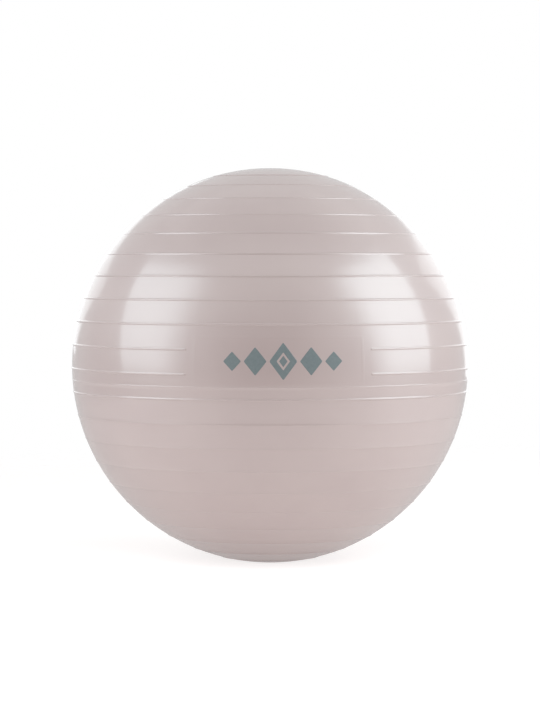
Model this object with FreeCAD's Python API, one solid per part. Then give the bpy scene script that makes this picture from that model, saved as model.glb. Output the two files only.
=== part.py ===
"""Exercise ball, 65 cm, with its push-in air valve.

The part is in millimetres, +Z up. Its origin is the middle of the flat patch on which
the inflated ball rests. The smooth panel with the printed mark faces -Y, and the valve
faces +Y.

Latitudes are degrees up from the ball's widest circle, and turns are degrees around +Z
counted from the panel's middle, positive towards +X.
"""
import FreeCAD
import Part

import math
import os

Vector = FreeCAD.Vector

# ---- driving dimensions -------------------------------------------------------------
BALL_RADIUS = 325.0         # widest circle of the skin, without the ribs
POLE_RADIUS = 323.8         # the inflated ball is a little lower than it is wide
WALL = 1.0                  # thickness of the moulded skin
PATCH_RADIUS = 32.0         # flat patch pressed into the skin by the ball's weight

RIB_WIDTH = 3.6
RIB_HEIGHT = 1.0            # the ribs above the seam and the first one below it
LOW_RIB_HEIGHT = 0.6        # the fainter ribs further down
SEAM_LATITUDE = -3.9        # the mould's parting line
SEAM_WIDTH = 1.6
SEAM_HEIGHT = 0.4
RIBS_ABOVE_SEAM = 11
RIBS_BELOW_SEAM = 10
RIB_PITCH_ABOVE = 6.83      # degrees from rib to rib next to the seam
RIB_PITCH_BELOW = 6.96
RIB_SPREAD_ABOVE = 0.0045   # how the pitch opens towards each pole
RIB_SPREAD_BELOW = 0.0065
BEAD_ROOT = 0.5             # how deep a separate bead is rooted in the skin

PANEL_HALF_TURN = 26.5      # the ribs beside the mark stop here, either side of its middle
PANEL_RIBS = (0, 1)         # the ribs above the seam that the panel interrupts

PAD_RADIUS = 28.0           # smooth pad around the valve
HOLE_RADIUS = 13.0          # hole in the skin for the valve seat

SEAT_FACE = 0.0             # the seat's outer face, outwards from the skin's widest circle
SEAT_EDGE = 0.4             # rounding of the seat's outer edge
SEAT_FLANGE_RADIUS = 24.0   # bonded to the inside of the skin
SEAT_FLANGE_ROOT = 2.2      # flange thickness at the neck
SEAT_FLANGE_RIM = 0.8
SEAT_GLUE = 0.02            # between the flange and the skin
SEAT_NECK_RADIUS = 8.0
SEAT_NECK_LENGTH = 22.0
SEAT_NECK_BEVEL = 2.0       # where the neck meets the flange
SEAT_NECK_DRAFT = 0.5       # how much thinner the neck is at its end
BORE_RADIUS = 5.0
RECESS_RADIUS = 9.6         # recess that the plug's head sits in
RECESS_DEPTH = 2.2
NOTCH_RADIUS = 3.0          # fingernail notch at the recess's edge
NOTCH_DEPTH = 1.4

HEAD_RADIUS = 9.0
HEAD_GAP = 0.05             # between the head and the recess's floor
HEAD_EDGE = 1.7             # thickness at the head's rim
HEAD_CROWN = 0.4            # how much higher the head is in its middle
HEAD_ROUND = 0.5            # rounding of the head's edge
STEM_CLEARANCE = 0.05
STEM_LENGTH = 24.0
STEM_STRAIGHT = 6.0         # smooth length under the head
BARB_COUNT = 3
BARB_PITCH = 4.0
BARB_DEPTH = 0.7
BARB_GROOVE = 0.9           # length of the groove before each barb
BARB_BACK = 0.1             # slope of the barb's back, the side that grips
BARB_RISE = 0.3             # slope from the groove up to the barb
TIP_RADIUS = 3.0
TIP_ROUND = 0.4
STEM_HOLLOW_RADIUS = 2.2
STEM_HOLLOW_LENGTH = 15.0

INK = 0.2                   # thickness of the printed layer
MARK_LATITUDE = 3.25
MARK_TURN = 1.0
MARK_GAP = 4.0
MARK_SIZES = ((27.0, 30.0), (35.0, 44.0), (43.0, 58.0), (35.0, 44.0), (27.0, 30.0))
MARK_CORNER = 2.5           # rounding of the lozenges' corners
MARK_RING = 0.26            # share of the middle lozenge that its band takes on each side
MARK_CORE = 0.30            # size of the small lozenge inside it
INK_LOW = -15.0             # latitudes and half turn of the layer that the print is cut from
INK_HIGH = 20.0
INK_HALF_TURN = 30.0

# ---- worked out ---------------------------------------------------------------------
ROUND_MIDDLE = 1 - math.sqrt(0.5)   # how far a quarter round's middle is from the square corner
PANEL_DIRECTION = -90               # direction of turn 0, in degrees from +X
CENTRE_Z = POLE_RADIUS * math.sqrt(1 - (PATCH_RADIUS / BALL_RADIUS) ** 2)
TURN_AXIS = Vector(0, 0, 1)
FLOOR_POINT = Vector(0, 0, 0)
VALVE_AXIS = Vector(0, 1, 0)
VALVE_CENTRE = Vector(0, 0, CENTRE_Z)


def skin_point(latitude, rise=0.0):
    """The point at this latitude in the XZ half-plane, rise outside the skin."""
    angle = math.radians(latitude)
    point = Vector(BALL_RADIUS * math.cos(angle), 0, CENTRE_Z + POLE_RADIUS * math.sin(angle))
    return point + skin_normal(latitude) * rise


def skin_normal(latitude):
    """The outward direction at this latitude in the XZ half-plane."""
    angle = math.radians(latitude)
    normal = Vector(math.cos(angle) / BALL_RADIUS, 0, math.sin(angle) / POLE_RADIUS)
    return normal.normalize()


def skin_arc(radius, pole_radius, low, high):
    """An arc of the meridian between two latitudes, in the XZ half-plane."""
    ellipse = Part.Ellipse(Vector(0, 0, CENTRE_Z), radius, pole_radius)
    ellipse.Axis = Vector(0, -1, 0)
    ellipse.XAxis = Vector(1, 0, 0)
    arc = Part.ArcOfEllipse(ellipse, math.radians(low), math.radians(high))
    return arc.toBSpline().toShape()


def rib_latitudes(count, pitch, spread, side):
    """Latitudes of the ribs on one side of the seam, from the seam outwards."""
    steps = [k + 0.5 for k in range(count)]
    return [SEAM_LATITUDE + side * (pitch * s + spread * s ** 3) for s in steps]


RIBS_ABOVE = rib_latitudes(RIBS_ABOVE_SEAM, RIB_PITCH_ABOVE, RIB_SPREAD_ABOVE, 1)
RIBS_BELOW = rib_latitudes(RIBS_BELOW_SEAM, RIB_PITCH_BELOW, RIB_SPREAD_BELOW, -1)


def foot_angle(width):
    """Half of a bead's width, as degrees of latitude."""
    return math.degrees(width / 2 / BALL_RADIUS)


def shell_outline():
    """The skin's section in the XZ half-plane, with the ribs that run all the way round."""
    ribs = [(RIBS_ABOVE[k], RIB_HEIGHT) for k in range(RIBS_ABOVE_SEAM) if k not in PANEL_RIBS]
    ribs.append((RIBS_BELOW[0], RIB_HEIGHT))
    ribs += [(latitude, LOW_RIB_HEIGHT) for latitude in RIBS_BELOW[1:]]
    ribs.sort()
    half = foot_angle(RIB_WIDTH)
    inner_radius = BALL_RADIUS - WALL
    inner_pole = POLE_RADIUS - WALL
    patch_latitude = -math.degrees(math.acos(PATCH_RADIUS / BALL_RADIUS))
    inner_latitude = -math.degrees(math.asin((CENTRE_Z - WALL) / inner_pole))

    edges = [Part.LineSegment(FLOOR_POINT, skin_point(patch_latitude)).toShape()]
    low = patch_latitude
    for rib, height in ribs:
        edges.append(skin_arc(BALL_RADIUS, POLE_RADIUS, low, rib - half))
        crest = skin_point(rib, height)
        edges.append(Part.Arc(skin_point(rib - half), crest, skin_point(rib + half)).toShape())
        low = rib + half
    edges.append(skin_arc(BALL_RADIUS, POLE_RADIUS, low, 90))

    top = Vector(0, 0, CENTRE_Z + POLE_RADIUS)
    inner_top = Vector(0, 0, CENTRE_Z + inner_pole)
    inner_floor = Vector(0, 0, WALL)
    inner_edge = Vector(inner_radius * math.cos(math.radians(inner_latitude)), 0, WALL)
    edges.append(Part.LineSegment(top, inner_top).toShape())
    edges.append(skin_arc(inner_radius, inner_pole, inner_latitude, 90))
    edges.append(Part.LineSegment(inner_edge, inner_floor).toShape())
    edges.append(Part.LineSegment(inner_floor, FLOOR_POINT).toShape())
    return Part.Face(Part.Wire(Part.__sortEdges__(edges)))


def bead_frame(latitude, width, height):
    """The places that a separate bead's section is drawn from, in the XZ half-plane."""
    normal = skin_normal(latitude)
    along = Vector(-normal.z, 0, normal.x)
    round_radius = ((width / 2) ** 2 + height ** 2) / (2 * height)
    root_half = math.sqrt(round_radius ** 2 - (round_radius - height - BEAD_ROOT) ** 2)
    crest = skin_point(latitude, height)
    root = skin_point(latitude, -BEAD_ROOT)
    shoulder_angle = math.asin(root_half / round_radius) / 2
    middle = skin_point(latitude, height - round_radius)
    lean = normal * (round_radius * math.cos(shoulder_angle))
    reach = along * (round_radius * math.sin(shoulder_angle))
    return crest, root, along * root_half, middle + lean + reach


def bead(latitude, width, height, start, end):
    """A bead round part of the ball, from one turn to another, with round ends."""
    crest, root, half_root, shoulder = bead_frame(latitude, width, height)
    arc = Part.Arc(root - half_root, crest, root + half_root).toShape()
    base = Part.LineSegment(root + half_root, root - half_root).toShape()
    section = Part.Face(Part.Wire([arc, base]))

    dome_arc = Part.Arc(crest, shoulder, root + half_root).toShape()
    dome_base = Part.LineSegment(root + half_root, root).toShape()
    dome_axis = Part.LineSegment(root, crest).toShape()
    dome_section = Part.Face(Part.Wire([dome_arc, dome_base, dome_axis]))

    section.rotate(FLOOR_POINT, TURN_AXIS, PANEL_DIRECTION + start)
    ring = section.revolve(FLOOR_POINT, TURN_AXIS, end - start)
    pieces = [ring]
    for turn, sweep in ((start, -180), (end, 180)):
        dome = dome_section.revolve(root, crest - root, sweep)
        dome.rotate(FLOOR_POINT, TURN_AXIS, PANEL_DIRECTION + turn)
        pieces.append(dome)
    return pieces


def pad_half_turn(latitude, width):
    """How far either side of the valve a bead at this latitude stops short."""
    height = POLE_RADIUS * math.sin(math.radians(latitude))
    half_chord = math.sqrt(PAD_RADIUS ** 2 - height ** 2)
    return math.degrees((half_chord + width / 2) / BALL_RADIUS)


def interrupted_beads():
    """The ribs that stop at the panel, and the rib and seam that stop at the valve's pad."""
    pieces = []
    for index in PANEL_RIBS:
        latitude = RIBS_ABOVE[index]
        rise = abs(POLE_RADIUS * math.sin(math.radians(latitude)))
        if rise < PAD_RADIUS:
            stop = 180 - pad_half_turn(latitude, RIB_WIDTH)
            pieces += bead(latitude, RIB_WIDTH, RIB_HEIGHT, PANEL_HALF_TURN, stop)
            pieces += bead(latitude, RIB_WIDTH, RIB_HEIGHT, -stop, -PANEL_HALF_TURN)
        else:
            end = 360 - PANEL_HALF_TURN
            pieces += bead(latitude, RIB_WIDTH, RIB_HEIGHT, PANEL_HALF_TURN, end)
    stop = 180 - pad_half_turn(SEAM_LATITUDE, SEAM_WIDTH)
    pieces += bead(SEAM_LATITUDE, SEAM_WIDTH, SEAM_HEIGHT, -stop, stop)
    return pieces


def ball_shell():
    """The hollow moulded skin with its ribs, its parting line and the valve's hole."""
    outline = shell_outline()
    half = outline.revolve(FLOOR_POINT, TURN_AXIS, 180)
    other_half = half.copy()
    other_half.rotate(FLOOR_POINT, TURN_AXIS, 180)
    shell = half.fuse([other_half] + interrupted_beads())
    drill_start = VALVE_CENTRE + VALVE_AXIS * (BALL_RADIUS - SEAT_NECK_LENGTH)
    drill = Part.makeCylinder(HOLE_RADIUS, 2 * SEAT_NECK_LENGTH, drill_start, VALVE_AXIS)
    return shell.cut(drill).Solids[0]


def turned(points):
    """A solid turned about the valve's axis from (radius, place along the axis) points.

    A place is counted outwards from the skin's widest circle. A point with a third
    value, a middle point given as (radius, place), is reached by an arc through it.
    """
    def place(pair):
        return Vector(pair[0], BALL_RADIUS + pair[1], CENTRE_Z)

    edges = []
    for start, end in zip(points, points[1:] + points[:1]):
        if len(end) > 2:
            edges.append(Part.Arc(place(start), place(end[2]), place(end)).toShape())
        else:
            edges.append(Part.LineSegment(place(start), place(end)).toShape())
    return Part.Face(Part.Wire(edges)).revolve(VALVE_CENTRE, VALVE_AXIS, 360)


def skin_drop(radius, depth=0.0):
    """Place along the valve's axis of the surface depth inside the skin, off the axis."""
    return math.sqrt((BALL_RADIUS - depth) ** 2 - radius ** 2) - BALL_RADIUS


def valve_seat():
    """The moulded-in seat: a face flush with the skin, a bonded flange and a neck."""
    rim = HOLE_RADIUS
    depth = WALL + SEAT_GLUE
    middle = (rim + SEAT_FLANGE_RADIUS) / 2
    flange_top = skin_drop(SEAT_FLANGE_RADIUS, depth)
    neck_top = -WALL - SEAT_FLANGE_ROOT
    neck_end = SEAT_FACE - SEAT_NECK_LENGTH
    edge_middle = ROUND_MIDDLE * SEAT_EDGE
    points = [
        (RECESS_RADIUS, SEAT_FACE),
        (rim - SEAT_EDGE, SEAT_FACE),
        (rim, SEAT_FACE - SEAT_EDGE, (rim - edge_middle, SEAT_FACE - edge_middle)),
        (rim, skin_drop(rim, depth)),
        (SEAT_FLANGE_RADIUS, flange_top, (middle, skin_drop(middle, depth))),
        (SEAT_FLANGE_RADIUS, flange_top - SEAT_FLANGE_RIM),
        (SEAT_NECK_RADIUS + SEAT_NECK_BEVEL, neck_top),
        (SEAT_NECK_RADIUS, neck_top - SEAT_NECK_BEVEL),
        (SEAT_NECK_RADIUS - SEAT_NECK_DRAFT, neck_end),
        (BORE_RADIUS, neck_end),
        (BORE_RADIUS, SEAT_FACE - RECESS_DEPTH),
        (RECESS_RADIUS, SEAT_FACE - RECESS_DEPTH),
    ]
    seat = turned(points)
    notch_centre = Vector(0, BALL_RADIUS + SEAT_FACE + NOTCH_RADIUS - NOTCH_DEPTH,
                          CENTRE_Z - RECESS_RADIUS)
    return seat.cut(Part.makeSphere(NOTCH_RADIUS, notch_centre))


def valve_plug():
    """The push-in plug: a low crowned head on a barbed, hollow stem."""
    under = SEAT_FACE - RECESS_DEPTH + HEAD_GAP
    edge = under + HEAD_EDGE
    stem_radius = BORE_RADIUS - STEM_CLEARANCE
    crown_middle = (HEAD_RADIUS / 2, edge + 3 / 4 * HEAD_CROWN)
    edge_middle = ROUND_MIDDLE * HEAD_ROUND
    points = [
        (0, edge + HEAD_CROWN),
        (HEAD_RADIUS - HEAD_ROUND, edge, crown_middle),
        (HEAD_RADIUS, edge - HEAD_ROUND, (HEAD_RADIUS - edge_middle, edge - edge_middle)),
        (HEAD_RADIUS, under),
        (stem_radius, under),
        (stem_radius, under - STEM_STRAIGHT),
    ]
    groove_radius = stem_radius - BARB_DEPTH
    for k in range(BARB_COUNT):
        top = under - STEM_STRAIGHT - k * BARB_PITCH
        groove_end = top - BARB_BACK - BARB_GROOVE
        points += [
            (groove_radius, top - BARB_BACK),
            (groove_radius, groove_end),
            (stem_radius, groove_end - BARB_RISE),
            (stem_radius, top - BARB_PITCH),
        ]
    tip = under - STEM_LENGTH
    hollow_top = tip + STEM_HOLLOW_LENGTH
    tip_middle = ROUND_MIDDLE * TIP_ROUND
    points += [
        (TIP_RADIUS + TIP_ROUND, tip + TIP_ROUND),
        (TIP_RADIUS, tip, (TIP_RADIUS + TIP_ROUND - tip_middle, tip + tip_middle)),
        (STEM_HOLLOW_RADIUS, tip),
        (STEM_HOLLOW_RADIUS, hollow_top),
        (0, hollow_top + STEM_HOLLOW_RADIUS),
    ]
    return turned(points)


def lozenge(width, height, across):
    """A long prism along -Y with a lozenge section, placed across from the mark's middle."""
    side = Vector(width / 2, 0, 0)
    tip = Vector(0, 0, height / 2)
    corners = [side, tip, -side, -tip]
    widest = max(size[0] for size in MARK_SIZES)
    corner = MARK_CORNER * width / widest
    rounds = []
    for index, point in enumerate(corners):
        before = (corners[index - 1] - point).normalize() * corner
        after = (corners[(index + 1) % 4] - point).normalize() * corner
        rounds.append((point + before, point + (before + after) * ROUND_MIDDLE, point + after))
    edges = []
    for index, (start, middle, end) in enumerate(rounds):
        edges.append(Part.LineSegment(rounds[index - 1][2], start).toShape())
        edges.append(Part.Arc(start, middle, end).toShape())
    prism = Part.Face(Part.Wire(edges)).extrude(Vector(0, -2 * BALL_RADIUS, 0))
    rise = POLE_RADIUS * math.sin(math.radians(MARK_LATITUDE))
    prism.translate(Vector(across, 0, CENTRE_Z + rise))
    return prism


def printed_emblem():
    """The printed mark: a row of lozenges, the middle one a band with a small core."""
    layer = ink_layer()
    total = sum(width for width, _ in MARK_SIZES) + MARK_GAP * (len(MARK_SIZES) - 1)
    left = -total / 2
    prints = []
    for index, (width, height) in enumerate(MARK_SIZES):
        across = left + width / 2
        shape = lozenge(width, height, across)
        if index == len(MARK_SIZES) // 2:
            inner = 1 - 2 * MARK_RING
            shape = shape.cut(lozenge(width * inner, height * inner, across))
            prints.append(lozenge(width * MARK_CORE, height * MARK_CORE, across))
        prints.append(shape)
        left += width + MARK_GAP
    printed = [piece.common(layer) for piece in prints]
    group = Part.makeCompound([solid for piece in printed for solid in piece.Solids])
    group.rotate(FLOOR_POINT, TURN_AXIS, MARK_TURN)
    return group


def ink_layer():
    """A thin layer on the skin, as wide as the print can reach."""
    outer = skin_arc(BALL_RADIUS + INK, POLE_RADIUS + INK, INK_LOW, INK_HIGH)
    inner = skin_arc(BALL_RADIUS, POLE_RADIUS, INK_LOW, INK_HIGH)
    ends = []
    for below, above in zip(inner.Vertexes, outer.Vertexes):
        ends.append(Part.LineSegment(below.Point, above.Point).toShape())
    section = Part.Face(Part.Wire(Part.__sortEdges__([outer, inner] + ends)))
    section.rotate(FLOOR_POINT, TURN_AXIS, PANEL_DIRECTION - INK_HALF_TURN)
    return section.revolve(FLOOR_POINT, TURN_AXIS, 2 * INK_HALF_TURN)


NODES = {
    "ball_shell": ball_shell,
    "valve_seat": valve_seat,
    "valve_plug": valve_plug,
    "printed_emblem": printed_emblem,
}

os.makedirs("parts", exist_ok=True)
for name, build in NODES.items():
    shape = build()
    shape.exportStep("parts/" + name + ".step")
    print(name, "solids", len(shape.Solids), "valid", shape.isValid(),
          "volume mm3 %.1f" % shape.Volume, "box", shape.BoundBox)
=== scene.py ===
"""The looks of the 65 cm exercise ball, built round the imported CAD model.

Lengths are in metres. Latitudes are degrees up from the ball's widest circle. Turns are
degrees around +Z counted from the middle of the smooth panel, which faces -Y, and are
positive towards +X, so the valve is at turn 180.
"""

import math

import bpy
import numpy as np
from mathutils import Matrix, Vector

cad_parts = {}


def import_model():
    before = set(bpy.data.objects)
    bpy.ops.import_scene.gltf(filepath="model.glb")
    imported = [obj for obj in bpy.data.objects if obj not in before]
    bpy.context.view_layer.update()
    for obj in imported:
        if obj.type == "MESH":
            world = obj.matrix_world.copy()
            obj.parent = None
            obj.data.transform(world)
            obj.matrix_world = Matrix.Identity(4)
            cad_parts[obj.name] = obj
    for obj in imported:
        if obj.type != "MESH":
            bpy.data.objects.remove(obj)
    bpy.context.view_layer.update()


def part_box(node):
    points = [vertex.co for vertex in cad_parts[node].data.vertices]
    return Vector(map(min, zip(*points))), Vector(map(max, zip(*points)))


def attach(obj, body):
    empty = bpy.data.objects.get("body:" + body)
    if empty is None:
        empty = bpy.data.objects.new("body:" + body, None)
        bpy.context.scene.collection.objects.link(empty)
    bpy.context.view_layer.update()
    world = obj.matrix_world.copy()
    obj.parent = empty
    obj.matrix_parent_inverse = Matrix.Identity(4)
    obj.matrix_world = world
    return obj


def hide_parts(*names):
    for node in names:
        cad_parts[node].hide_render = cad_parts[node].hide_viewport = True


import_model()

MM = 0.001

# ---- the ball's shape, as in the CAD model ------------------------------------------
RIB_WIDTH = 3.6 * MM
RIB_HEIGHT = 1.0 * MM           # the ribs above the seam and the first one below it
LOW_RIB_HEIGHT = 0.6 * MM       # the fainter ribs further down
SEAM_LATITUDE = -3.9            # the mould's parting line
SEAM_WIDTH = 1.6 * MM
SEAM_HEIGHT = 0.4 * MM
RIBS_ABOVE_SEAM = 11
RIBS_BELOW_SEAM = 10
RIB_PITCH_ABOVE = 6.83          # degrees from rib to rib next to the seam
RIB_PITCH_BELOW = 6.96
RIB_SPREAD_ABOVE = 0.0045       # how the pitch opens towards each pole
RIB_SPREAD_BELOW = 0.0065
WALL = 1.0 * MM

PANEL_HALF_TURN = 26.5          # the ribs beside the mark stop here
PANEL_RIBS = (0, 1)             # the ribs above the seam that the panel interrupts
PAD_RADIUS = 28.0 * MM          # smooth pad around the valve
HOLE_RADIUS = 13.0 * MM

RECESS_RADIUS = 9.6 * MM
RECESS_DEPTH = 2.2 * MM
BORE_RADIUS = 5.0 * MM
NECK_RADIUS = 8.0 * MM
NECK_LENGTH = 22.0 * MM
NECK_BEVEL = 2.0 * MM           # where the neck meets the flange
NECK_DRAFT = 0.5 * MM           # how much thinner the neck is at its end
FLANGE_RADIUS = 24.0 * MM
FLANGE_ROOT = 2.2 * MM
FLANGE_RIM = 0.8 * MM
SEAT_GLUE = 0.02 * MM           # between the flange and the skin
NOTCH_RADIUS = 3.0 * MM         # fingernail notch at the recess's edge
NOTCH_DEPTH = 1.4 * MM
NOTCH_CLEARANCE = 0.1 * MM      # it stops short of the recess's floor

HEAD_RADIUS = 9.0 * MM
HEAD_EDGE = 1.7 * MM            # thickness at the head's rim
HEAD_CROWN = 0.4 * MM           # how much higher the head is in its middle
STEM_RADIUS = 4.95 * MM
STEM_STRAIGHT = 6.0 * MM        # smooth length under the head
BARB_COUNT = 3
BARB_PITCH = 4.0 * MM
BARB_DEPTH = 0.7 * MM
BARB_GROOVE = 0.9 * MM          # length of the groove before each barb
BARB_BACK = 0.1 * MM            # slope of the barb's back, the side that grips
BARB_RISE = 0.3 * MM            # slope from the groove up to the barb
TIP_RADIUS = 3.0 * MM
TIP_ROUND = 0.4 * MM
STEM_HOLLOW_RADIUS = 2.2 * MM
STEM_HOLLOW_LENGTH = 15.0 * MM

MARK_LATITUDE = 3.25
MARK_TURN = 1.0
MARK_GAP = 4.0 * MM
MARK_SIZES = ((27, 30), (35, 44), (43, 58), (35, 44), (27, 30))     # in millimetres
MARK_CORNER = 2.5 * MM          # rounding of the lozenges' corners
MARK_RING = 0.26                # share of the middle lozenge that its band takes on each side
MARK_CORE = 0.30                # size of the small lozenge inside it

# ---- what only the visible meshes have ----------------------------------------------
INSERT_HALF_TURN = 23.6         # faint outline that the mould's insert leaves round the mark
INSERT_LOW = -3.3
INSERT_HIGH = 9.8
INSERT_LINE = 5.6 * MM
INSERT_EDGE = 1.3 * MM
INSERT_RISE = 0.07 * MM

PATCH_SOFTNESS = 0.15 * MM      # how softly the skin curves into its flat patch
LIP_ROUND = 0.12 * MM           # the rounded edge of the skin's hole
LIP_DROP = 0.03 * MM
THROAT_ROUND = 0.02 * MM
THROAT_DROP = 0.25 * MM
DIMPLE_RADIUS = 1.2 * MM        # the mould's gate mark in the middle of the plug's head
DIMPLE_BOTTOM = 0.9 * MM
DIMPLE_DEPTH = 0.12 * MM
HOLLOW_CONE = 2.0 * MM          # the cone at the end of the stem's hollow
INK_RISE = 0.10 * MM            # the ink's face and its hidden edge, from the skin
INK_ROOT = -0.05 * MM

# ---- spacing of the skin's vertices, in degrees -------------------------------------
CAP_LATITUDE = 89.0
ROW_STEP = 2.6
COLUMN_STEP = 1.5
LEAST_STEP = 0.03
INNER_ROW_SKIP = 8              # how much coarser the inside of the skin is
INNER_COLUMN_SKIP = 6

# ---- places worked out from the frame -----------------------------------------------
_, shell_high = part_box("ball_shell")
plug_low, plug_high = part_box("valve_plug")
CENTRE_Z = (plug_low[2] + plug_high[2]) / 2
POLE_RADIUS = shell_high[2] - CENTRE_Z
BALL_RADIUS = shell_high[0] - RIB_HEIGHT
CENTRE = Vector((0, 0, CENTRE_Z))


def rib_latitudes(count, pitch, opening, side):
    """Latitudes of the ribs on one side of the seam, from the seam outwards."""
    steps = [k + 0.5 for k in range(count)]
    return [SEAM_LATITUDE + side * (pitch * s + opening * s ** 3) for s in steps]


RIBS_ABOVE = rib_latitudes(RIBS_ABOVE_SEAM, RIB_PITCH_ABOVE, RIB_SPREAD_ABOVE, 1)
RIBS_BELOW = rib_latitudes(RIBS_BELOW_SEAM, RIB_PITCH_BELOW, RIB_SPREAD_BELOW, -1)


# ---- relief of the skin -------------------------------------------------------------
BEAD_FOOT = 0.10                # softness of a bead's feet, as a share of its height
RUNS_ON = -1.0                  # where a bead stops that doesn't stop


def bead_profile(distance, width, height):
    """Height of a round-topped bead, with soft feet, at a distance from its middle line."""
    foot = BEAD_FOOT * height
    round_radius = (width ** 2 / 4 + height ** 2) / (2 * height)
    sunk = round_radius - height
    rise = np.sqrt(np.maximum(round_radius ** 2 - distance ** 2, 0)) - sunk
    soft = (rise + np.sqrt(rise ** 2 + foot ** 2)) / 2
    far_off = (math.sqrt(sunk ** 2 + foot ** 2) - sunk) / 2
    return np.maximum(soft - far_off, 0)


def past_the_end(turns, stop_front, stop_back):
    """How far, along the skin, a place lies past the end of an interrupted bead.

    The bead runs from stop_front to 180 - stop_back on both sides of the ball.
    """
    away = np.abs((turns + 180) % 360 - 180)
    front = np.radians(stop_front - away) * BALL_RADIUS
    back = np.radians(away - (180 - stop_back)) * BALL_RADIUS
    return np.maximum(np.maximum(front, back), 0)


def pad_half_turn(latitude, width):
    """How far either side of the valve a bead at this latitude stops, in degrees."""
    height = POLE_RADIUS * math.sin(math.radians(latitude))
    if abs(height) >= PAD_RADIUS:
        return RUNS_ON
    half_chord = math.sqrt(PAD_RADIUS ** 2 - height ** 2)
    return math.degrees((half_chord + width / 2) / BALL_RADIUS)


def bead_relief(latitudes, turns, latitude, width, height, stop_front):
    """Relief of one bead over a grid of places."""
    across = np.radians(latitudes - latitude) * BALL_RADIUS
    beyond = past_the_end(turns, stop_front, pad_half_turn(latitude, width))
    return bead_profile(np.hypot(across, beyond), width, height)


def insert_relief(latitudes, turns):
    """The fine raised outline of the mould's insert, a rectangle on the panel."""
    signed_turns = (turns + 180) % 360 - 180
    middle = (INSERT_LOW + INSERT_HIGH) / 2
    over_side = np.radians(np.abs(signed_turns) - INSERT_HALF_TURN) * BALL_RADIUS
    over_top = np.radians(np.abs(latitudes - middle) - (INSERT_HIGH - INSERT_LOW) / 2) * BALL_RADIUS
    inside = np.minimum(np.maximum(over_side, over_top), 0)
    outside = np.hypot(np.maximum(over_side, 0), np.maximum(over_top, 0))
    distance = np.abs(inside + outside)
    share = np.clip((INSERT_LINE / 2 - distance) / INSERT_EDGE, 0, 1)
    return INSERT_RISE * share * share * (3 - 2 * share)


def relief(latitudes, turns):
    """Height of everything moulded on the skin, over arrays of latitudes and turns."""
    rise = np.zeros(np.broadcast(latitudes, turns).shape)
    for index, latitude in enumerate(RIBS_ABOVE):
        stop = PANEL_HALF_TURN if index in PANEL_RIBS else RUNS_ON
        rise = np.maximum(rise, bead_relief(latitudes, turns, latitude, RIB_WIDTH, RIB_HEIGHT, stop))
    for index, latitude in enumerate(RIBS_BELOW):
        height = RIB_HEIGHT if index == 0 else LOW_RIB_HEIGHT
        rise = np.maximum(rise, bead_relief(latitudes, turns, latitude, RIB_WIDTH, height, RUNS_ON))
    seam = bead_relief(latitudes, turns, SEAM_LATITUDE, SEAM_WIDTH, SEAM_HEIGHT, RUNS_ON)
    return np.maximum(np.maximum(rise, seam), insert_relief(latitudes, turns))


def skin_points(latitudes, turns, rise):
    """Places on the ball at arrays of latitudes and turns, rise outside the skin."""
    lat = np.radians(latitudes)
    turn = np.radians(turns)
    out = np.stack([np.cos(lat) * np.sin(turn), -np.cos(lat) * np.cos(turn), np.sin(lat)], -1)
    radii = np.array([BALL_RADIUS, BALL_RADIUS, POLE_RADIUS])
    normal = out / radii
    normal /= np.linalg.norm(normal, axis=-1, keepdims=True)
    points = out * radii + normal * np.asarray(rise)[..., None]
    points[..., 2] += CENTRE_Z
    return points


# ---- meshes -------------------------------------------------------------------------
def make_object(name, vertices, faces, material, body):
    """A smooth-shaded mesh object that rides on a body."""
    mesh = bpy.data.meshes.new(name)
    mesh.from_pydata([tuple(v) for v in vertices], [], faces)
    mesh.validate()
    mesh.shade_smooth()
    mesh.materials.append(material)
    piece = bpy.data.objects.new(name, mesh)
    bpy.context.scene.collection.objects.link(piece)
    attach(piece, body)
    return piece


def thinned(values):
    """Sorted values without any that lie too close to the one before."""
    kept = []
    for value in sorted(values):
        if not kept or value - kept[-1] > LEAST_STEP:
            kept.append(value)
    return np.array(kept)


def clustered(places, low, high, step):
    """Sorted values: a cluster round each place, and even steps between the clusters.

    A place is given as (place, half its width, offsets in half widths).
    """
    values = {low, high}
    for place, half, offsets in places:
        values.update(place + offset * half for offset in offsets)
    kept = thinned(v for v in values if low <= v <= high)
    filled = [kept[0]]
    for value in kept[1:]:
        gap = value - filled[-1]
        parts = max(1, math.ceil(gap / step))
        start = filled[-1]
        filled += [start + gap * (k + 1) / parts for k in range(parts)]
    return np.array(filled)


# where rows or columns lie across a bead, in shares of its half width
BEAD_OFFSETS = (-1.35, -1.05, -0.85, -0.6, -0.3, 0, 0.3, 0.6, 0.85, 1.05, 1.35)
LOW_RIB_OFFSETS = (-1.3, -0.85, -0.45, 0, 0.45, 0.85, 1.3)
SEAM_OFFSETS = (-1.4, -0.7, 0, 0.7, 1.4)
INSERT_OFFSETS = (-1.1, -1, -0.88, -0.77, -0.65, -0.54, -0.3, 0, 0.3, 0.54, 0.65, 0.77, 0.88, 1, 1.1)
END_OFFSETS = (-1.2, -0.8, -0.5, -0.2, 0.1, 0.4, 0.8, 1.4)
PANEL_END_WIDTH = 1.3           # the ends at the panel are spread a little wider


def half_angle(width):
    """Half a width on the skin, in degrees seen from the ball's centre."""
    return math.degrees(width / 2 / BALL_RADIUS)


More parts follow.
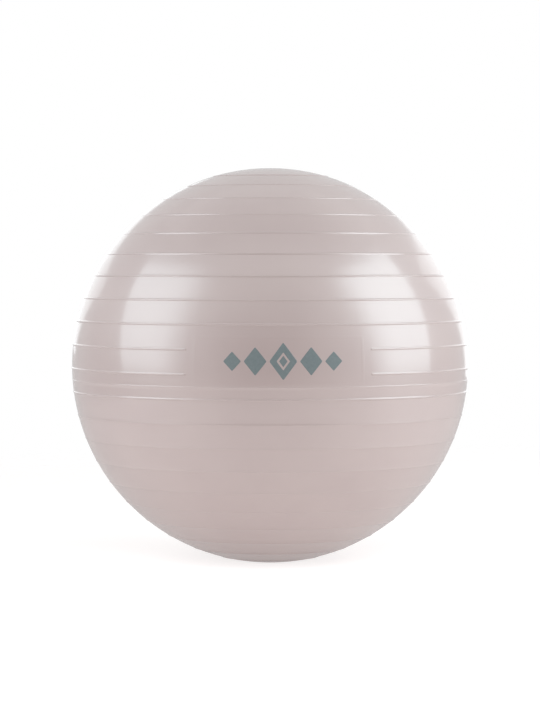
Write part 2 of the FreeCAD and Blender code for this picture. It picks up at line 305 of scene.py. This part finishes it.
def shell_rows():
    """Latitudes of the skin's rows of vertices, close together across every bead."""
    ribs = [(latitude, half_angle(RIB_WIDTH), BEAD_OFFSETS) for latitude in RIBS_ABOVE + RIBS_BELOW[:1]]
    ribs += [(latitude, half_angle(RIB_WIDTH), LOW_RIB_OFFSETS) for latitude in RIBS_BELOW[1:]]
    rows = list(clustered(ribs, -CAP_LATITUDE, CAP_LATITUDE, ROW_STEP))
    rows += [SEAM_LATITUDE + offset * half_angle(SEAM_WIDTH) for offset in SEAM_OFFSETS]
    for place in (INSERT_LOW, INSERT_HIGH):
        rows += [place + offset * half_angle(INSERT_LINE) for offset in INSERT_OFFSETS]
    return thinned(rows)


def shell_columns():
    """Turns of the skin's columns of vertices, close together where a bead ends."""
    half_rib = half_angle(RIB_WIDTH)
    ends = []
    for side in (1, -1):
        panel_end = (side * PANEL_HALF_TURN) % 360
        ends.append((panel_end, half_rib * PANEL_END_WIDTH * -side, END_OFFSETS))
        for latitude, width in ((RIBS_ABOVE[0], RIB_WIDTH), (SEAM_LATITUDE, SEAM_WIDTH)):
            pad_end = (180 - side * pad_half_turn(latitude, width)) % 360
            ends.append((pad_end, half_rib * side, END_OFFSETS))
    columns = list(clustered(ends, 0.0, 359.0, COLUMN_STEP))
    for side in (1, -1):
        place = (side * INSERT_HALF_TURN) % 360
        columns += [place + offset * half_angle(INSERT_LINE) for offset in INSERT_OFFSETS]
    return thinned(columns)


def coarser(values, keep_from, keep_to, skip):
    """Every skip-th value, but all of them from one index to another."""
    kept = values[keep_from:keep_to + 1]
    return np.concatenate([values[:keep_from:skip], kept, values[keep_to + skip::skip]])


WINDOW_REACH = 1.45             # half the square round the valve's hole, in radii of the hole


def valve_window(rows, columns):
    """Rows and columns that bound the square round the valve's hole."""
    reach = half_angle(2 * WINDOW_REACH * HOLE_RADIUS)
    row_low = int(np.searchsorted(rows, -reach)) - 1
    row_high = int(np.searchsorted(rows, reach))
    column_low = int(np.searchsorted(columns, 180 - reach)) - 1
    column_high = int(np.searchsorted(columns, 180 + reach))
    return row_low, row_high, column_low, column_high


def skin_grid(rows, columns, points, poles):
    """Vertices and faces of a closed skin with a round hole for the valve.

    Returns the vertices, the faces and the loop of vertices round the hole's edge.
    """
    count = len(columns)
    vertices = [tuple(p) for p in points.reshape(-1, 3)]
    row_low, row_high, column_low, column_high = valve_window(rows, columns)
    faces = []
    for i in range(len(rows) - 1):
        for j in range(count):
            if row_low <= i < row_high and column_low <= j < column_high:
                continue
            k = (j + 1) % count
            faces.append((i * count + j, i * count + k, (i + 1) * count + k, (i + 1) * count + j))
    for pole, row, order in ((poles[0], 0, -1), (poles[1], len(rows) - 1, 1)):
        tip = len(vertices)
        vertices.append(tuple(pole))
        for j in range(count):
            pair = (row * count + j, row * count + (j + 1) % count)
            faces.append((*pair[::order], tip))

    edge = [(row_low, j) for j in range(column_low, column_high)]
    edge += [(i, column_high) for i in range(row_low, row_high)]
    edge += [(row_high, j) for j in range(column_high, column_low, -1)]
    edge += [(i, column_low) for i in range(row_high, row_low, -1)]
    loop = [i * count + j for i, j in edge]
    return vertices, faces, loop


def join(faces, ring, fresh):
    """Quads between two loops with the same number of vertices."""
    for a in range(len(ring)):
        b = (a + 1) % len(ring)
        faces.append((ring[a], ring[b], fresh[b], fresh[a]))


def close_in(vertices, faces, loop, depth, shares):
    """Rings of faces from a square edge loop in to the circle of the valve's hole.

    Each share says how far out its ring lies, from 0 at the circle to 1 at the square.
    """
    radii = np.array([BALL_RADIUS - depth, POLE_RADIUS - depth])
    outer = [Vector(vertices[index]) for index in loop]
    ring = loop
    for share in shares:
        fresh = []
        for point in outer:
            flat = Vector((point.x, point.z - CENTRE_Z))
            rim = flat.normalized() * HOLE_RADIUS
            here = rim + (flat - rim) * share
            y = radii[0] * math.sqrt(1 - (here.x / radii[0]) ** 2 - (here.y / radii[1]) ** 2)
            fresh.append(len(vertices))
            vertices.append((here.x, y, here.y + CENTRE_Z))
        join(faces, ring, fresh)
        ring = fresh
    return ring


def rim_ring(vertices, faces, ring, edge, radius, drop):
    """A ring at another radius and drop further in than the hole's edge, joined to a ring."""
    fresh = []
    for index in edge:
        x, y, z = vertices[index]
        flat = Vector((x, z - CENTRE_Z)).normalized() * radius
        fresh.append(len(vertices))
        vertices.append((flat.x, y - drop, flat.y + CENTRE_Z))
    join(faces, ring, fresh)
    return fresh


def outer_skin(rows, columns):
    """Vertices, faces and last ring of the outside, with everything moulded on it."""
    lat, turn = np.meshgrid(rows, columns, indexing="ij")
    points = skin_points(lat, turn, relief(lat, turn))
    height = points[..., 2]
    points[..., 2] = (height + np.sqrt(height ** 2 + PATCH_SOFTNESS ** 2)) / 2
    poles = [(0, 0, float(points[0, :, 2].min())), (0, 0, CENTRE_Z + POLE_RADIUS)]
    vertices, faces, loop = skin_grid(rows, columns, points, poles)
    edge = close_in(vertices, faces, loop, 0, (0.75, 0.5, 0.3, 0.15, 0.05))
    lip = rim_ring(vertices, faces, edge, edge, HOLE_RADIUS + LIP_ROUND, LIP_DROP)
    throat = rim_ring(vertices, faces, lip, edge, HOLE_RADIUS + THROAT_ROUND, THROAT_DROP)
    return vertices, faces, throat


def inner_skin(rows, columns):
    """Vertices, faces and last ring of the inside, coarse away from the valve."""
    row_low, row_high, column_low, column_high = valve_window(rows, columns)
    rows = coarser(rows, row_low, row_high, INNER_ROW_SKIP)
    columns = coarser(columns, column_low, column_high, INNER_COLUMN_SKIP)
    lat, turn = np.meshgrid(rows, columns, indexing="ij")
    points = skin_points(lat, turn, np.full(lat.shape, -WALL))
    points[..., 2] = np.maximum(points[..., 2], WALL)
    poles = [(0, 0, WALL), (0, 0, CENTRE_Z + POLE_RADIUS - WALL)]
    vertices, faces, loop = skin_grid(rows, columns, points, poles)
    ring = close_in(vertices, faces, loop, WALL, (0.5, 0.0))
    return vertices, faces, ring


def ball_shell(material):
    """The moulded skin with its ribs, seam, panel outline, wall and valve hole."""
    rows = shell_rows()
    columns = shell_columns()
    vertices, faces, throat = outer_skin(rows, columns)
    inner, inner_faces, inner_ring = inner_skin(rows, columns)
    start = len(vertices)
    vertices += inner
    faces += [tuple(start + index for index in face[::-1]) for face in inner_faces]
    join(faces, throat, [start + index for index in inner_ring])
    return make_object("ball_skin", vertices, faces, material, "ball")


def lathe(name, profile, material, body, segments, shape=None):
    """A solid turned about the valve's axis from (radius, place outwards) pairs.

    A pair with radius 0 becomes a single vertex. shape may move the finished vertices.
    """
    vertices = []
    rings = []
    for radius, place in profile:
        if radius == 0:
            rings.append([len(vertices)])
            vertices.append([0, BALL_RADIUS + place, CENTRE_Z])
            continue
        rings.append(list(range(len(vertices), len(vertices) + segments)))
        for k in range(segments):
            angle = 2 * math.pi * k / segments
            x, z = radius * math.sin(angle), radius * math.cos(angle)
            vertices.append([x, BALL_RADIUS + place, CENTRE_Z + z])
    faces = []
    closed = profile[0][0] != 0
    for ring, fresh in zip(rings, rings[1:] + (rings[:1] if closed else [])):
        if len(ring) == len(fresh):
            join(faces, ring, fresh)
            continue
        for a in range(segments):
            b = (a + 1) % segments
            fan = (ring[0], fresh[b], fresh[a]) if len(ring) == 1 else (ring[a], ring[b], fresh[0])
            faces.append(fan)
    if shape:
        shape(vertices)
    return make_object(name, vertices, faces, material, body)


def bend(start, corner, end, steps):
    """Points of a curve from start to end that bends round a corner."""
    shares = [k / steps for k in range(steps + 1)]
    return [start * (1 - t) ** 2 + corner * 2 * t * (1 - t) + end * t ** 2 for t in shares]


def rounded(corners, steps=5):
    """A profile whose corners, given as (radius, place, rounding), are rounded off."""
    points = []
    for index, (radius, place, rounding) in enumerate(corners):
        here = Vector((radius, place))
        if rounding == 0:
            points.append(tuple(here))
            continue
        before = Vector(corners[index - 1][:2])
        after = Vector(corners[(index + 1) % len(corners)][:2])
        start = here + (before - here).normalized() * rounding
        end = here + (after - here).normalized() * rounding
        points += [tuple(point) for point in bend(start, here, end, steps)]
    return points


def skin_drop(radius, depth):
    """Place along the valve's axis of the surface depth inside the skin, off the axis."""
    return math.sqrt((BALL_RADIUS - depth) ** 2 - radius ** 2) - BALL_RADIUS


def scoop_notch(vertices):
    """Cuts the fingernail notch into the seat's front face and down the recess's wall."""
    middle_y = BALL_RADIUS + NOTCH_RADIUS - NOTCH_DEPTH
    middle_z = CENTRE_Z - RECESS_RADIUS
    recess_floor = BALL_RADIUS - RECESS_DEPTH
    for point in vertices:
        reach = NOTCH_RADIUS ** 2 - point[0] ** 2 - (point[2] - middle_z) ** 2
        if reach > 0 and point[1] > recess_floor + NOTCH_CLEARANCE:
            point[1] = min(point[1], middle_y - math.sqrt(reach))


def valve_seat(material):
    """The moulded-in seat with its recess, bonded flange and neck."""
    glued = WALL + SEAT_GLUE
    middle = (HOLE_RADIUS + FLANGE_RADIUS) / 2
    face = HOLE_RADIUS - RECESS_RADIUS
    corners = [(RECESS_RADIUS, 0, 0.25 * MM)]
    corners += [(RECESS_RADIUS + share * face, 0, 0) for share in (0.2, 0.4, 0.6, 0.8)]
    corners += [
        (HOLE_RADIUS, 0, 0.4 * MM),
        (HOLE_RADIUS, skin_drop(HOLE_RADIUS, glued), 0),
        (middle, skin_drop(middle, glued), 0),
        (FLANGE_RADIUS, skin_drop(FLANGE_RADIUS, glued), 0.2 * MM),
        (FLANGE_RADIUS, skin_drop(FLANGE_RADIUS, WALL) - FLANGE_RIM, 0.3 * MM),
        (NECK_RADIUS + NECK_BEVEL, -WALL - FLANGE_ROOT, 0.8 * MM),
        (NECK_RADIUS, -WALL - FLANGE_ROOT - NECK_BEVEL, 0.8 * MM),
        (NECK_RADIUS - NECK_DRAFT, -NECK_LENGTH, 0.4 * MM),
        (BORE_RADIUS, -NECK_LENGTH, 0.3 * MM),
        (BORE_RADIUS, -RECESS_DEPTH, 0.2 * MM),
        (RECESS_RADIUS, -RECESS_DEPTH, 0.3 * MM),
    ]
    corners += [(RECESS_RADIUS, -RECESS_DEPTH * share, 0) for share in (0.75, 0.6, 0.45, 0.3)]
    return lathe("valve_seat_ring", rounded(corners), material, "ball", 160, scoop_notch)


def valve_plug(material):
    """The push-in plug: a low crowned head on a barbed, hollow stem."""
    top = plug_high[1] - BALL_RADIUS
    edge = top - HEAD_CROWN
    under = edge - HEAD_EDGE
    tip = plug_low[1] - BALL_RADIUS
    dimple = top - DIMPLE_DEPTH
    corners = [(0, dimple, 0), (DIMPLE_BOTTOM, dimple, 0), (DIMPLE_RADIUS, top, 0.1 * MM)]
    for share in (0.3, 0.5, 0.7, 0.85):
        corners.append((HEAD_RADIUS * share, edge + HEAD_CROWN * (1 - share ** 2), 0))
    corners += [
        (HEAD_RADIUS, edge, 0.5 * MM),
        (HEAD_RADIUS, under, 0.15 * MM),
        (STEM_RADIUS, under, 0.3 * MM),
    ]
    groove = STEM_RADIUS - BARB_DEPTH
    for k in range(BARB_COUNT):
        start = under - STEM_STRAIGHT - k * BARB_PITCH
        corners += [
            (STEM_RADIUS, start, 0.1 * MM),
            (groove, start - BARB_BACK, 0.1 * MM),
            (groove, start - BARB_BACK - BARB_GROOVE, 0.15 * MM),
            (STEM_RADIUS, start - BARB_BACK - BARB_GROOVE - BARB_RISE, 0.15 * MM),
        ]
    corners += [
        (STEM_RADIUS, under - STEM_STRAIGHT - BARB_COUNT * BARB_PITCH, 0.3 * MM),
        (TIP_RADIUS + TIP_ROUND, tip + TIP_ROUND, 0),
        (TIP_RADIUS, tip, 0.2 * MM),
        (STEM_HOLLOW_RADIUS, tip, 0.1 * MM),
        (STEM_HOLLOW_RADIUS, tip + STEM_HOLLOW_LENGTH, 0.4 * MM),
        (0, tip + STEM_HOLLOW_LENGTH + HOLLOW_CONE, 0),
    ]
    return lathe("valve_plug_body", rounded(corners), material, "plug", 96)


# ---- the printed mark ---------------------------------------------------------------
def lozenge_outline(width, height, corner, steps=6):
    """Points round a lozenge with rounded corners, as an array."""
    tips = [Vector((width / 2, 0)), Vector((0, height / 2)),
            Vector((-width / 2, 0)), Vector((0, -height / 2))]
    points = []
    for index, tip in enumerate(tips):
        before = tips[index - 1]
        after = tips[(index + 1) % len(tips)]
        end = tip + (after - tip).normalized() * corner
        next_start = after + (tip - after).normalized() * corner
        points += bend(tip + (before - tip).normalized() * corner, tip, end, steps)
        points += [end + (next_start - end) * k / steps for k in range(1, steps)]
    return np.array([tuple(point) for point in points])


def on_panel(flat, rise):
    """Places on the skin for (across, up) offsets from the mark's middle."""
    middle_z = POLE_RADIUS * math.sin(math.radians(MARK_LATITUDE))
    up = (flat[:, 1] + middle_z) / POLE_RADIUS
    latitudes = np.degrees(np.arcsin(up))
    around = flat[:, 0] / (BALL_RADIUS * np.cos(np.radians(latitudes)))
    turns = np.degrees(np.arcsin(around)) + MARK_TURN
    return skin_points(latitudes, turns, relief(latitudes, turns) + rise)


LOZENGE_SHARES = (1.0, 0.96, 0.85, 0.7, 0.5, 0.3, 0.12)     # the rings of a full lozenge, ...
BAND_SHARES = (1.0, 0.9, 0.7, 0.5, 0.3, 0.1, 0.0)           # ... and of one with a hole in it


def printed_shape(vertices, faces, outer, inner, across):
    """Adds one printed shape, a band between two outlines or a full lozenge."""
    offset = np.array([across, 0])
    rings = [on_panel(outer + offset, INK_ROOT)]
    if inner is None:
        rings += [on_panel(outer * share + offset, INK_RISE) for share in LOZENGE_SHARES]
    else:
        rings += [on_panel(inner + (outer - inner) * share + offset, INK_RISE) for share in BAND_SHARES]
        rings.append(on_panel(inner + offset, INK_ROOT))
    loops = []
    for ring in rings:
        loops.append(range(len(vertices), len(vertices) + len(ring)))
        vertices.extend(tuple(point) for point in ring)
    for ring, fresh in zip(loops, loops[1:]):
        join(faces, ring, fresh)
    if inner is None:
        middle = len(vertices)
        vertices.append(tuple(on_panel(offset[None, :], INK_RISE)[0]))
        last = loops[-1]
        faces += [(last[a], last[(a + 1) % len(last)], middle) for a in range(len(last))]


def printed_mark(material):
    """The generic printed mark: a row of lozenges, the middle one a band with a core."""
    sizes = [(width * MM, height * MM) for width, height in MARK_SIZES]
    widest = max(width for width, _ in sizes)
    total = sum(width for width, _ in sizes) + MARK_GAP * (len(sizes) - 1)
    vertices, faces = [], []
    left = -total / 2
    for index, (width, height) in enumerate(sizes):
        across = left + width / 2
        outer = lozenge_outline(width, height, MARK_CORNER * width / widest)
        inner = None
        if index == len(sizes) // 2:
            inner = outer * (1 - 2 * MARK_RING)
            printed_shape(vertices, faces, outer * MARK_CORE, None, across)
        printed_shape(vertices, faces, outer, inner, across)
        left += width + MARK_GAP
    return make_object("printed_mark", vertices, faces, material, "ball")


# ---- materials ----------------------------------------------------------------------
def new_material(name):
    """An empty node material with one Principled shader, and its node tree."""
    material = bpy.data.materials.new(name)
    material.use_nodes = True
    tree = material.node_tree
    shader = tree.nodes["Principled BSDF"]
    return material, tree, shader


def calculate(tree, operation, *values):
    """A math node over numbers and sockets."""
    node = tree.nodes.new("ShaderNodeMath")
    node.operation = operation
    for socket, value in zip(node.inputs, values):
        if isinstance(value, (int, float)):
            socket.default_value = value
        else:
            tree.links.new(value, socket)
    return node.outputs[0]


def place_of(tree):
    """The node tree's one texture coordinate node."""
    place = tree.nodes.get("place") or tree.nodes.new("ShaderNodeTexCoord")
    place.name = "place"
    return place


def noise(tree, scale, detail):
    """A noise texture in the object's own coordinates."""
    texture = tree.nodes.new("ShaderNodeTexNoise")
    texture.inputs["Scale"].default_value = scale
    texture.inputs["Detail"].default_value = detail
    tree.links.new(place_of(tree).outputs["Object"], texture.inputs["Vector"])
    return texture.outputs["Fac"]


def spread(tree, value, low, high, out_low=0.0, out_high=1.0, soft=False):
    """Maps a value from one range to another, along a straight or a soft-ended ramp."""
    node = tree.nodes.new("ShaderNodeMapRange")
    if soft:
        node.interpolation_type = "SMOOTHSTEP"
    ends = {"From Min": low, "From Max": high, "To Min": out_low, "To Max": out_high}
    for name, number in ends.items():
        node.inputs[name].default_value = number
    tree.links.new(value, node.inputs["Value"])
    return node.outputs["Result"]


def split(tree, vector):
    """The three parts of a vector."""
    node = tree.nodes.new("ShaderNodeSeparateXYZ")
    tree.links.new(vector, node.inputs[0])
    return node.outputs


def blend_colours(tree, share, first, second):
    """A colour between two, by share."""
    node = tree.nodes.new("ShaderNodeMix")
    node.data_type = "RGBA"
    node.inputs["A"].default_value = (*first, 1)
    node.inputs["B"].default_value = (*second, 1)
    tree.links.new(share, node.inputs["Factor"])
    return node.outputs["Result"]


def add_bump(tree, shader, layers):
    """Bumps the shader's surface by layers of noise, each (scale, detail, height in metres)."""
    total = 0.0
    for scale, detail, height in layers:
        total = calculate(tree, "MULTIPLY_ADD", noise(tree, scale, detail), height / MM, total)
    bump = tree.nodes.new("ShaderNodeBump")
    bump.inputs["Distance"].default_value = MM
    tree.links.new(total, bump.inputs["Height"])
    tree.links.new(bump.outputs["Normal"], shader.inputs["Normal"])


def clouded(name, clouds, colours, grain, roughness, layers):
    """A material whose colour and gloss vary a little, with a fine relief.

    clouds is the (scale, detail, low, high) of the noise that blends the two colours,
    grain the scale of the noise that spreads the roughness between its two values.
    """
    material, tree, shader = new_material(name)
    scale, detail, low, high = clouds
    share = spread(tree, noise(tree, scale, detail), low, high)
    tree.links.new(blend_colours(tree, share, *colours), shader.inputs["Base Color"])
    rough = spread(tree, noise(tree, grain, 2), 0.3, 0.7, *roughness)
    tree.links.new(rough, shader.inputs["Roughness"])
    add_bump(tree, shader, layers)
    return material, shader


def pearl_skin():
    """Glossy pearly plastic: faint clouds of flake, a satin base and a clear gloss."""
    material, shader = clouded(
        "pearl_skin", (9, 3, 0.35, 0.65), ((0.528, 0.417, 0.403), (0.548, 0.437, 0.420)),
        700, (0.37, 0.43), ((24, 2, 0.30 * MM), (160, 2, 0.03 * MM), (900, 1, 0.015 * MM)))
    shader.inputs["Specular IOR Level"].default_value = 1.0
    shader.inputs["IOR"].default_value = 1.55
    shader.inputs["Coat Weight"].default_value = 1.0
    shader.inputs["Coat IOR"].default_value = 1.55
    shader.inputs["Coat Roughness"].default_value = 0.11
    return material


def seat_plastic():
    """The seat's plastic, the skin's colour but duller."""
    return clouded(
        "seat_plastic", (300, 3, 0.3, 0.7), ((0.520, 0.420, 0.405), (0.545, 0.445, 0.430)),
        1500, (0.30, 0.42), ((1200, 2, 0.025 * MM),))[0]


def plug_plastic():
    """The plug's milky white plastic."""
    material, shader = clouded(
        "plug_plastic", (400, 3, 0.3, 0.7), ((0.78, 0.76, 0.74), (0.84, 0.83, 0.81)),
        1800, (0.28, 0.40), ((1500, 2, 0.02 * MM),))
    shader.inputs["Subsurface Weight"].default_value = 0.15
    shader.inputs["Subsurface Radius"].default_value = (2 * MM, 2 * MM, 2 * MM)
    return material


def print_ink():
    """The mark's grey ink, a little uneven and satin."""
    material, shader = clouded(
        "print_ink", (260, 4, 0.3, 0.7), ((0.185, 0.225, 0.235), (0.210, 0.250, 0.258)),
        1400, (0.34, 0.46), ((1100, 2, 0.015 * MM),))
    shader.inputs["Coat Weight"].default_value = 0.5
    shader.inputs["Coat Roughness"].default_value = 0.2
    return material


# ---- stage, lights and camera -------------------------------------------------------
TO_CAMERA = Matrix.Rotation(math.radians(-2.6), 3, "Z")     # the camera stands a little to the left
CAMERA_RISE = 2.2               # degrees above the ball's middle
CAMERA_DISTANCE = 13.7          # in radii of the ball
CAMERA_LENS = 135.25
CAMERA_SHIFT = 0.0074

FLOOR_SHIFT = 0.5               # the floor's middle, to the right of the ball
FLOOR_RINGS = (0.6, 1.6, 2.8)   # the floor fades out between the last two radii
FLOOR_SIDES = 96
FLOOR_GLOW = 0.25
FLOOR_GLOW_SEEN = 0.40          # what the camera sees of the glow on top of that
FLOOR_GLOW_FRONT = 0.38         # what the floor in front of the ball has on top of that, ...
FLOOR_FRONT = (0.3, -0.6)       # ... which grows between these places along Y

GLOW_FRONT = 1.45               # the surround as a light: halfway round to the front, ...
GLOW_BACK = 0.6                 # ... behind the ball, ...
GLOW_ABOVE = 0.30               # ... above it ...
GLOW_LEAST = 0.05               # ... and everywhere
SEEN_BESIDE = 0.86              # the surround as the camera sees it, beside the ball ...
SEEN_BEHIND = 1.0               # ... and behind it
SEEN_TURNS = (0.3, 0.9)         # the directions, along Y, between which it changes

CARD_DISTANCE = 3.0             # the two cards that light the ball's edges from behind


def floor_material():
    """Pale and matt, glowing a little like a light table, and fading out far from the ball."""
    material, tree, shader = new_material("floor")
    shader.inputs["Base Color"].default_value = (0.46, 0.42, 0.41, 1)
    shader.inputs["Roughness"].default_value = 0.9
    shader.inputs["Specular IOR Level"].default_value = 0.0
    shader.inputs["Emission Color"].default_value = (1, 1, 1, 1)
    path = tree.nodes.new("ShaderNodeLightPath")
    place = place_of(tree).outputs["Object"]
    front = spread(tree, split(tree, place)[1], *FLOOR_FRONT, soft=True)
    glow = calculate(tree, "MULTIPLY_ADD", path.outputs["Is Camera Ray"], FLOOR_GLOW_SEEN, FLOOR_GLOW)
    glow = calculate(tree, "MULTIPLY_ADD", front, FLOOR_GLOW_FRONT, glow)
    tree.links.new(glow, shader.inputs["Emission Strength"])
    length = tree.nodes.new("ShaderNodeVectorMath")
    length.operation = "LENGTH"
    tree.links.new(place, length.inputs[0])
    fades, ends = FLOOR_RINGS[-2:]
    shade = spread(tree, length.outputs["Value"], ends, fades, soft=True)
    tree.links.new(shade, shader.inputs["Alpha"])
    return material


def floor():
    """A plain pale disc under the ball."""
    points = [Vector((0, 0, 0))]
    for radius in FLOOR_RINGS:
        for side in range(FLOOR_SIDES):
            angle = 2 * math.pi * side / FLOOR_SIDES
            points.append(Vector((radius * math.cos(angle), radius * math.sin(angle), 0)))
    faces = []
    for side in range(FLOOR_SIDES):
        after = (side + 1) % FLOOR_SIDES
        faces.append((0, 1 + side, 1 + after))
        for ring in range(len(FLOOR_RINGS) - 1):
            near = 1 + ring * FLOOR_SIDES
            far = near + FLOOR_SIDES
            faces.append((near + side, far + side, far + after, near + after))
    mesh = bpy.data.meshes.new("floor")
    mesh.from_pydata(points, [], faces)
    mesh.materials.append(floor_material())
    disc = bpy.data.objects.new("floor", mesh)
    disc.location.x = FLOOR_SHIFT
    bpy.context.scene.collection.objects.link(disc)


def fade_light(data, edges, fall, upside_down):
    """Fades a light at its edges and from one side to the other."""
    data.use_nodes = True
    tree = data.node_tree
    place = tree.nodes.new("ShaderNodeNewGeometry")
    along, up, _ = split(tree, place.outputs["Parametric"])
    if upside_down:
        up = calculate(tree, "SUBTRACT", 1.0, up)
    strength = calculate(tree, "SUBTRACT", 1.0, calculate(tree, "MULTIPLY", along, fall))
    for share_along, share_up, offset, softness in edges:
        reach = calculate(tree, "MULTIPLY_ADD", up, share_up, offset)
        reach = calculate(tree, "MULTIPLY_ADD", along, share_along, reach)
        fade = spread(tree, reach, -softness, softness, soft=True)
        strength = calculate(tree, "MULTIPLY", strength, fade)
    tree.links.new(strength, tree.nodes["Emission"].inputs["Strength"])


def panel_light(name, corner, along, up, brightness, colour=(1, 1, 1), edges=(), fall=0.0):
    """A rectangular light that faces the ball and isn't seen by the camera.

    corner, along and up are in metres from the ball's centre, with -Y towards the camera.
    Each edge is (share along, share up, offset, softness): the light fades to nothing
    across the line where along * share + up * share + offset is nothing. fall is how much
    of its brightness the light loses from one side to the other.
    """
    corner, along, up = (TO_CAMERA @ Vector(v) for v in (corner, along, up))
    middle = CENTRE + corner + (along + up) / 2
    facing = along.cross(up).normalized()
    if facing.dot(CENTRE - middle) < 0:
        facing.negate()
    across = along.normalized()
    upright = (-facing).cross(across)
    data = bpy.data.lights.new(name, "AREA")
    data.shape = "RECTANGLE"
    data.size, data.size_y = along.length, up.length
    data.energy = brightness * along.length * up.length
    data.color = colour
    light = bpy.data.objects.new(name, data)
    turned = Matrix((across, upright, -facing)).transposed()
    light.matrix_world = Matrix.Translation(middle) @ turned.to_4x4()
    light.visible_camera = False
    bpy.context.scene.collection.objects.link(light)
    if edges:
        fade_light(data, edges, fall, upright.dot(up) < 0)


def rim_card(name, start, end, low, high, brightness, edges):
    """A standing card behind the ball, from one turn to another, both counted from behind it."""
    near, far = (Vector((CARD_DISTANCE * math.sin(math.radians(turn)),
                         CARD_DISTANCE * math.cos(math.radians(turn)), low))
                 for turn in (start, end))
    panel_light(name, near, far - near, (0, 0, high - low), brightness, (0.93, 1.0, 1.02), edges)


def lights():
    """Two leaning softboxes beside the camera, a soft ceiling and two lit cards behind the ball."""
    panel_light("left_softbox", corner=(-0.882, -1.402, -0.184), along=(-1.227, 1.313, 0),
                up=(0.661, 0.619, 1.650), brightness=8.05, colour=(0.888, 1.0, 1.035), fall=0.15,
                edges=((1.5, 0.261, -0.497, 0.20), (-1.5, -0.073, 1.398, 0.05),
                       (0, 1.45, -0.14, 0.07), (0.27, -1.45, 0.969, 0.12)))
    panel_light("right_softbox", corner=(0.834, -1.249, -0.188), along=(1.292, 1.589, 0),
                up=(-0.532, 0.432, 1.745), brightness=10.7, colour=(0.882, 1.0, 1.03), fall=0.33,
                edges=((1.65, 0.419, -0.541, 0.17), (-1.65, -0.419, 1.541, 0.08),
                       (0, 1.55, -0.12, 0.08), (0.578, -1.55, 0.925, 0.12)))
    panel_light("ceiling", corner=(-1.8, -1.7, 2.4), along=(3.6, 0, 0), up=(0, 3.4, 0), brightness=0.6)
    rim_card("rim_card_left", -7, -49, -0.02, 1.5, 2.25,
             ((-1, 0.76, 0.540, 0.04), (0, -1, 0.71, 0.08)))
    rim_card("rim_card_right", 6, 56, -0.16, 1.5, 2.4,
             ((-1, 0.63, 0.48, 0.04), (0.59, -1, 0.50, 0.09)))


def world():
    """A white surround that the camera sees evenly lit, and that is dimmer as a light."""
    surround = bpy.data.worlds.new("surround")
    bpy.context.scene.world = surround
    surround.use_nodes = True
    tree = surround.node_tree
    _, forward, upward = split(tree, place_of(tree).outputs["Generated"])
    front = calculate(tree, "MAXIMUM", calculate(tree, "MULTIPLY", forward, -1.0), 0.0)
    back = calculate(tree, "MAXIMUM", forward, 0.0)
    above = calculate(tree, "MAXIMUM", upward, 0.0)
    beside = calculate(tree, "SUBTRACT", 1.0, calculate(tree, "MULTIPLY", front, front))
    glow = calculate(tree, "MULTIPLY", calculate(tree, "MULTIPLY", front, beside), GLOW_FRONT)
    glow = calculate(tree, "MULTIPLY_ADD", back, GLOW_BACK, glow)
    glow = calculate(tree, "MULTIPLY_ADD", above, GLOW_ABOVE, glow)
    glow = calculate(tree, "ADD", glow, GLOW_LEAST)
    looked_at = spread(tree, forward, *SEEN_TURNS, SEEN_BESIDE, SEEN_BEHIND, soft=True)
    by_camera = tree.nodes.new("ShaderNodeLightPath").outputs["Is Camera Ray"]
    seen = calculate(tree, "MULTIPLY", by_camera, looked_at)
    unseen = calculate(tree, "SUBTRACT", 1.0, by_camera)
    strength = calculate(tree, "MULTIPLY_ADD", glow, unseen, seen)
    background = tree.nodes["Background"]
    tree.links.new(strength, background.inputs["Strength"])
    background.inputs["Color"].default_value = (1, 1, 1, 1)


def camera():
    """A long lens, a little above the ball's middle and a little left of the panel's."""
    rise = math.radians(CAMERA_RISE)
    back = TO_CAMERA @ Vector((0, -math.cos(rise), math.sin(rise)))
    data = bpy.data.cameras.new("camera")
    data.lens = CAMERA_LENS
    data.sensor_width = 36
    data.shift_y = CAMERA_SHIFT
    view = bpy.data.objects.new("camera", data)
    view.location = CENTRE + back * CAMERA_DISTANCE * BALL_RADIUS
    view.rotation_mode = "QUATERNION"
    view.rotation_quaternion = (-back).to_track_quat("-Z", "Y")
    bpy.context.scene.collection.objects.link(view)
    bpy.context.scene.camera = view


# ---- the scene ----------------------------------------------------------------------
camera()
bpy.context.scene.view_settings.view_transform = "Standard"
floor()
world()
lights()

skin = ball_shell(pearl_skin())
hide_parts("ball_shell")
seat = valve_seat(seat_plastic())
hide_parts("valve_seat")
plug = valve_plug(plug_plastic())
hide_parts("valve_plug")
mark = printed_mark(print_ink())
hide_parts("printed_emblem")
